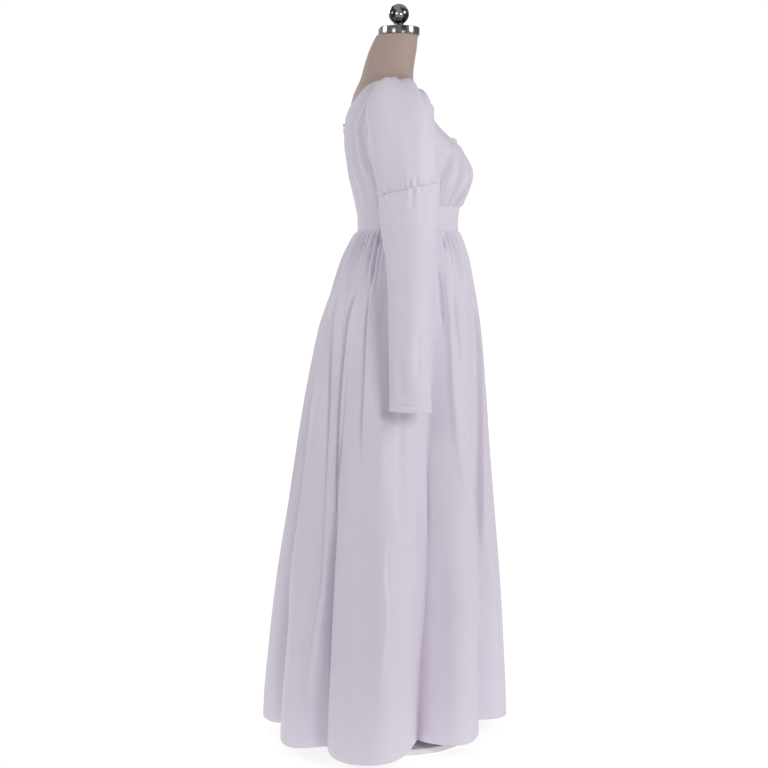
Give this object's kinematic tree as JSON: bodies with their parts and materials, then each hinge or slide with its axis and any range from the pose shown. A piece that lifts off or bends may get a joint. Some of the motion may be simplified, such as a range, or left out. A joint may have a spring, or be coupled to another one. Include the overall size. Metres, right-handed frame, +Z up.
{
  "type": "regency dress on dress form",
  "caption": "White Regency gown with puffed sleeves, a raised waistband and a gathered skirt, on a limbless dress form.",
  "frame": {"origin": "middle of the underside of the dress form's round base, on the floor", "axes": "+Z up, +X out of the wearer's front, -Y out of the wearer's right side"},
  "size_m": [0.5179, 0.561, 1.503],
  "materials": {
    "crepe": "matte",
    "form_cover": "matte",
    "chrome": "polished",
    "stand_steel": "satin",
    "stand_paint": "satin",
    "zip_metal": "satin"
  },
  "bodies": {
    "gown_on_form": {"bodice_front": "crepe", "bodice_back_left": "crepe", "bodice_back_right": "crepe", "waistband": "crepe", "sleeve_puff_left": "crepe", "sleeve_puff_right": "crepe", "sleeve_lower_left": "crepe", "sleeve_lower_right": "crepe", "skirt_front": "crepe", "skirt_back_left": "crepe", "skirt_back_right": "crepe", "form_body": "form_cover", "form_cap": "chrome", "form_finial": "chrome", "stand_pole": "stand_steel", "stand_base": "stand_paint", "zip_slider": "zip_metal"},
    "pull": {"zip_pull": "zip_metal"}
  },
  "joints": [
    {"name": "pull_swing", "type": "hinge", "parent": "gown_on_form", "child": "pull", "pos_m": [-0.1113, 0, 1.262], "axis": [0, 1, 0], "range_deg": [0, 150]}
  ]
}
